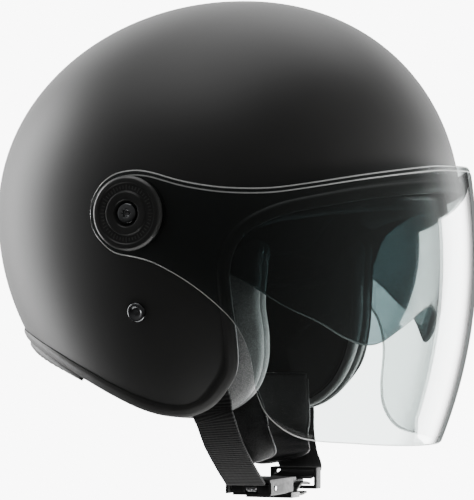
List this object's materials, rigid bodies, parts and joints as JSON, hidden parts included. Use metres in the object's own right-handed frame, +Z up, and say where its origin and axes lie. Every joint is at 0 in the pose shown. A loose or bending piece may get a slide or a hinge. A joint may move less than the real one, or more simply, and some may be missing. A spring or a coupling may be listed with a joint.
{
  "type": "open face motorcycle helmet",
  "caption": "Open face helmet with a matt shell, hinged clear visor, drop-down tinted sun visor, padded lining and a chin strap with ratchet buckle.",
  "frame": {"origin": "centre of the head cavity, on the mid plane and level with the visor pivots", "axes": "-Y forward out of the face opening, +Z up through the crown, +X towards the wearer's left"},
  "size_m": [0.2636, 0.2896, 0.2948],
  "materials": {
    "shell_paint": "matte",
    "trim_rubber": "satin",
    "liner_foam": "matte",
    "lining_fabric": "matte",
    "leatherette": "satin",
    "black_plastic": "satin",
    "steel": "satin",
    "dark_chrome": "polished",
    "visor_clear": "polished",
    "sun_visor_smoke": "polished",
    "cable_sheath": "satin",
    "webbing": "matte"
  },
  "bodies": {
    "helmet": {"outer_shell": "shell_paint", "edge_trim": "trim_rubber", "rear_lip": "trim_rubber", "impact_liner": "liner_foam", "comfort_liner": "lining_fabric", "forehead_band": "leatherette", "neck_roll": "leatherette", "cheek_pad_right": "leatherette", "cheek_pad_left": "leatherette", "pivot_base_right": "black_plastic", "pivot_base_left": "black_plastic", "pivot_cover_right": "black_plastic", "pivot_cover_left": "black_plastic", "sun_visor_pin_right": "black_plastic", "sun_visor_pin_left": "black_plastic", "slider_track": "black_plastic", "wave_washer_right": "steel", "wave_washer_left": "steel", "pivot_nut_right": "steel", "pivot_nut_left": "steel", "strap_anchor_right": "steel", "strap_anchor_left": "steel", "pivot_screw_right": "dark_chrome", "pivot_screw_left": "dark_chrome", "strap_rivet_right": "dark_chrome", "strap_rivet_left": "dark_chrome", "sun_visor_cable": "cable_sheath", "strap_top_right": "webbing", "strap_top_left": "webbing"},
    "visor": {"visor": "visor_clear"},
    "sun_visor": {"sun_visor": "sun_visor_smoke"},
    "slider_knob": {"slider_knob": "black_plastic"},
    "chin_strap": {"strap_right": "webbing", "strap_left": "webbing", "strap_pad_right": "leatherette", "strap_pad_left": "leatherette", "buckle_frame": "black_plastic", "buckle_pin": "steel", "lever_spring": "steel", "ratchet_tongue": "black_plastic", "strap_slide": "black_plastic", "strap_tail": "webbing"},
    "buckle_lever": {"buckle_lever": "black_plastic"}
  },
  "joints": [
    {"name": "visor_hinge", "type": "hinge", "parent": "helmet", "child": "visor", "pos_m": [0, 0.01, 0], "axis": [-1, 0, 0], "range_deg": [0, 70]},
    {"name": "sun_visor_hinge", "type": "hinge", "parent": "helmet", "child": "sun_visor", "pos_m": [0, -0.01, -0.02], "axis": [-1, 0, 0], "range_deg": [0, 50]},
    {"name": "slider_travel", "type": "slide", "parent": "helmet", "child": "slider_knob", "axis": [-0.079, 0.9965, 0.0284], "range_m": [0, 0.02]},
    {"name": "chin_strap_swing", "type": "hinge", "parent": "helmet", "child": "chin_strap", "pos_m": [0, -0.0136, -0.109], "axis": [-0.9932, -0.1168, 0], "range_deg": [-4, 14], "stiffness_Nm_per_rad": 0.08},
    {"name": "buckle_lever_hinge", "type": "hinge", "parent": "chin_strap", "child": "buckle_lever", "pos_m": [-0.04, -0.03, -0.1602], "axis": [0, 1, 0], "range_deg": [0, 25], "stiffness_Nm_per_rad": 0.02, "springref_deg": -28.65}
  ],
  "couplings": [
    {"joint": "slider_travel", "follows": "sun_visor_hinge", "m_per_rad": 0.0229}
  ]
}
